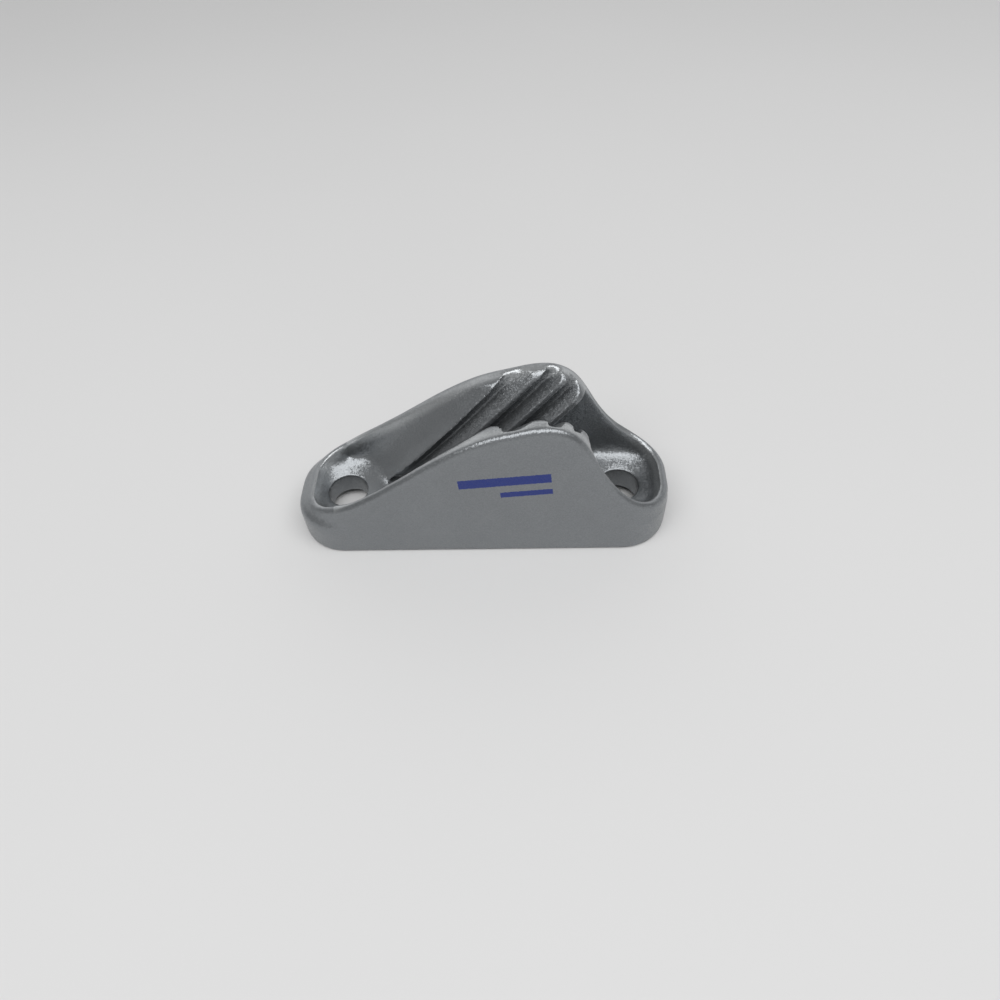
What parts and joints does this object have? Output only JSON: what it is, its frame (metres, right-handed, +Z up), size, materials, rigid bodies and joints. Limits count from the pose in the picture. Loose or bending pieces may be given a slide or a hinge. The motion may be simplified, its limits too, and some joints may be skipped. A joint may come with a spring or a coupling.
{
  "type": "jam cleat",
  "caption": "Small cast jam cleat: a flaring jaw with slanted saw teeth, a low dish at each end and screw holes for deck mounting.",
  "frame": {"origin": "middle of the base, on the deck face", "axes": "+Z up from the deck; +X to the tail, where the free end of the line leaves; the load comes from -X; the part mirrors across the XZ plane"},
  "size_m": [0.0446, 0.0132, 0.0191],
  "materials": {
    "casting": "satin metallic silver-grey coat with fine flakes"
  },
  "bodies": {
    "root": {"cleat_body": "casting"}
  },
  "joints": []
}
